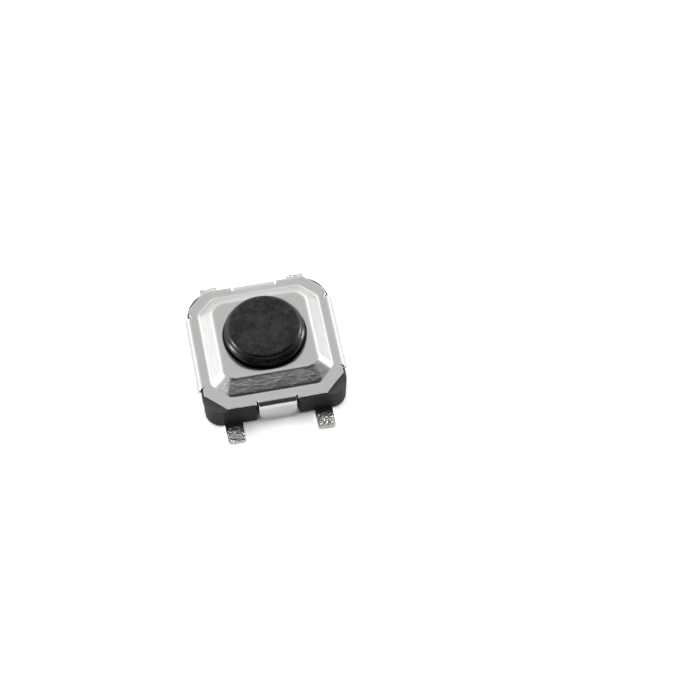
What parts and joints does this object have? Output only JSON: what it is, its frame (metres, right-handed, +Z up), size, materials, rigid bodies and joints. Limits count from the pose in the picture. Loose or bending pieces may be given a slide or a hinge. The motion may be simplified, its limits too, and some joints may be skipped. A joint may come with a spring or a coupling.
{
  "type": "surface-mount tactile pushbutton",
  "caption": "Small square surface-mount tactile pushbutton: black moulded base, drawn steel cover with folded tabs, and a round black stepped plunger that travels down onto a snap dome.",
  "frame": {"origin": "on the seating plane of the leads, under the middle of the plunger", "axes": "+Z up out of the board, along the plunger's axis; +Y along the leads, from the side with the short tab to the side with the long tab; +X across the leads"},
  "size_m": [0.005, 0.0062, 0.002],
  "materials": {
    "black_moulding": "fine satin moulding, near black",
    "black_plunger": "matte, near black",
    "steel_cover": "bright rolled stainless sheet",
    "silvered_lead": "silver-plated, satin",
    "spring_steel": "bright spring strip"
  },
  "bodies": {
    "switch": {"base": "black_moulding", "lead_frame_centre": "silvered_lead", "lead_frame_outer": "silvered_lead", "snap_dome": "spring_steel", "cover": "steel_cover"},
    "button": {"plunger": "black_plunger"}
  },
  "joints": [
    {"name": "plunger_press", "type": "slide", "parent": "switch", "child": "button", "axis": [0, 0, -1], "range_m": [0, 0.00025], "stiffness_N_per_m": 6400, "deforming": ["snap_dome"]}
  ]
}
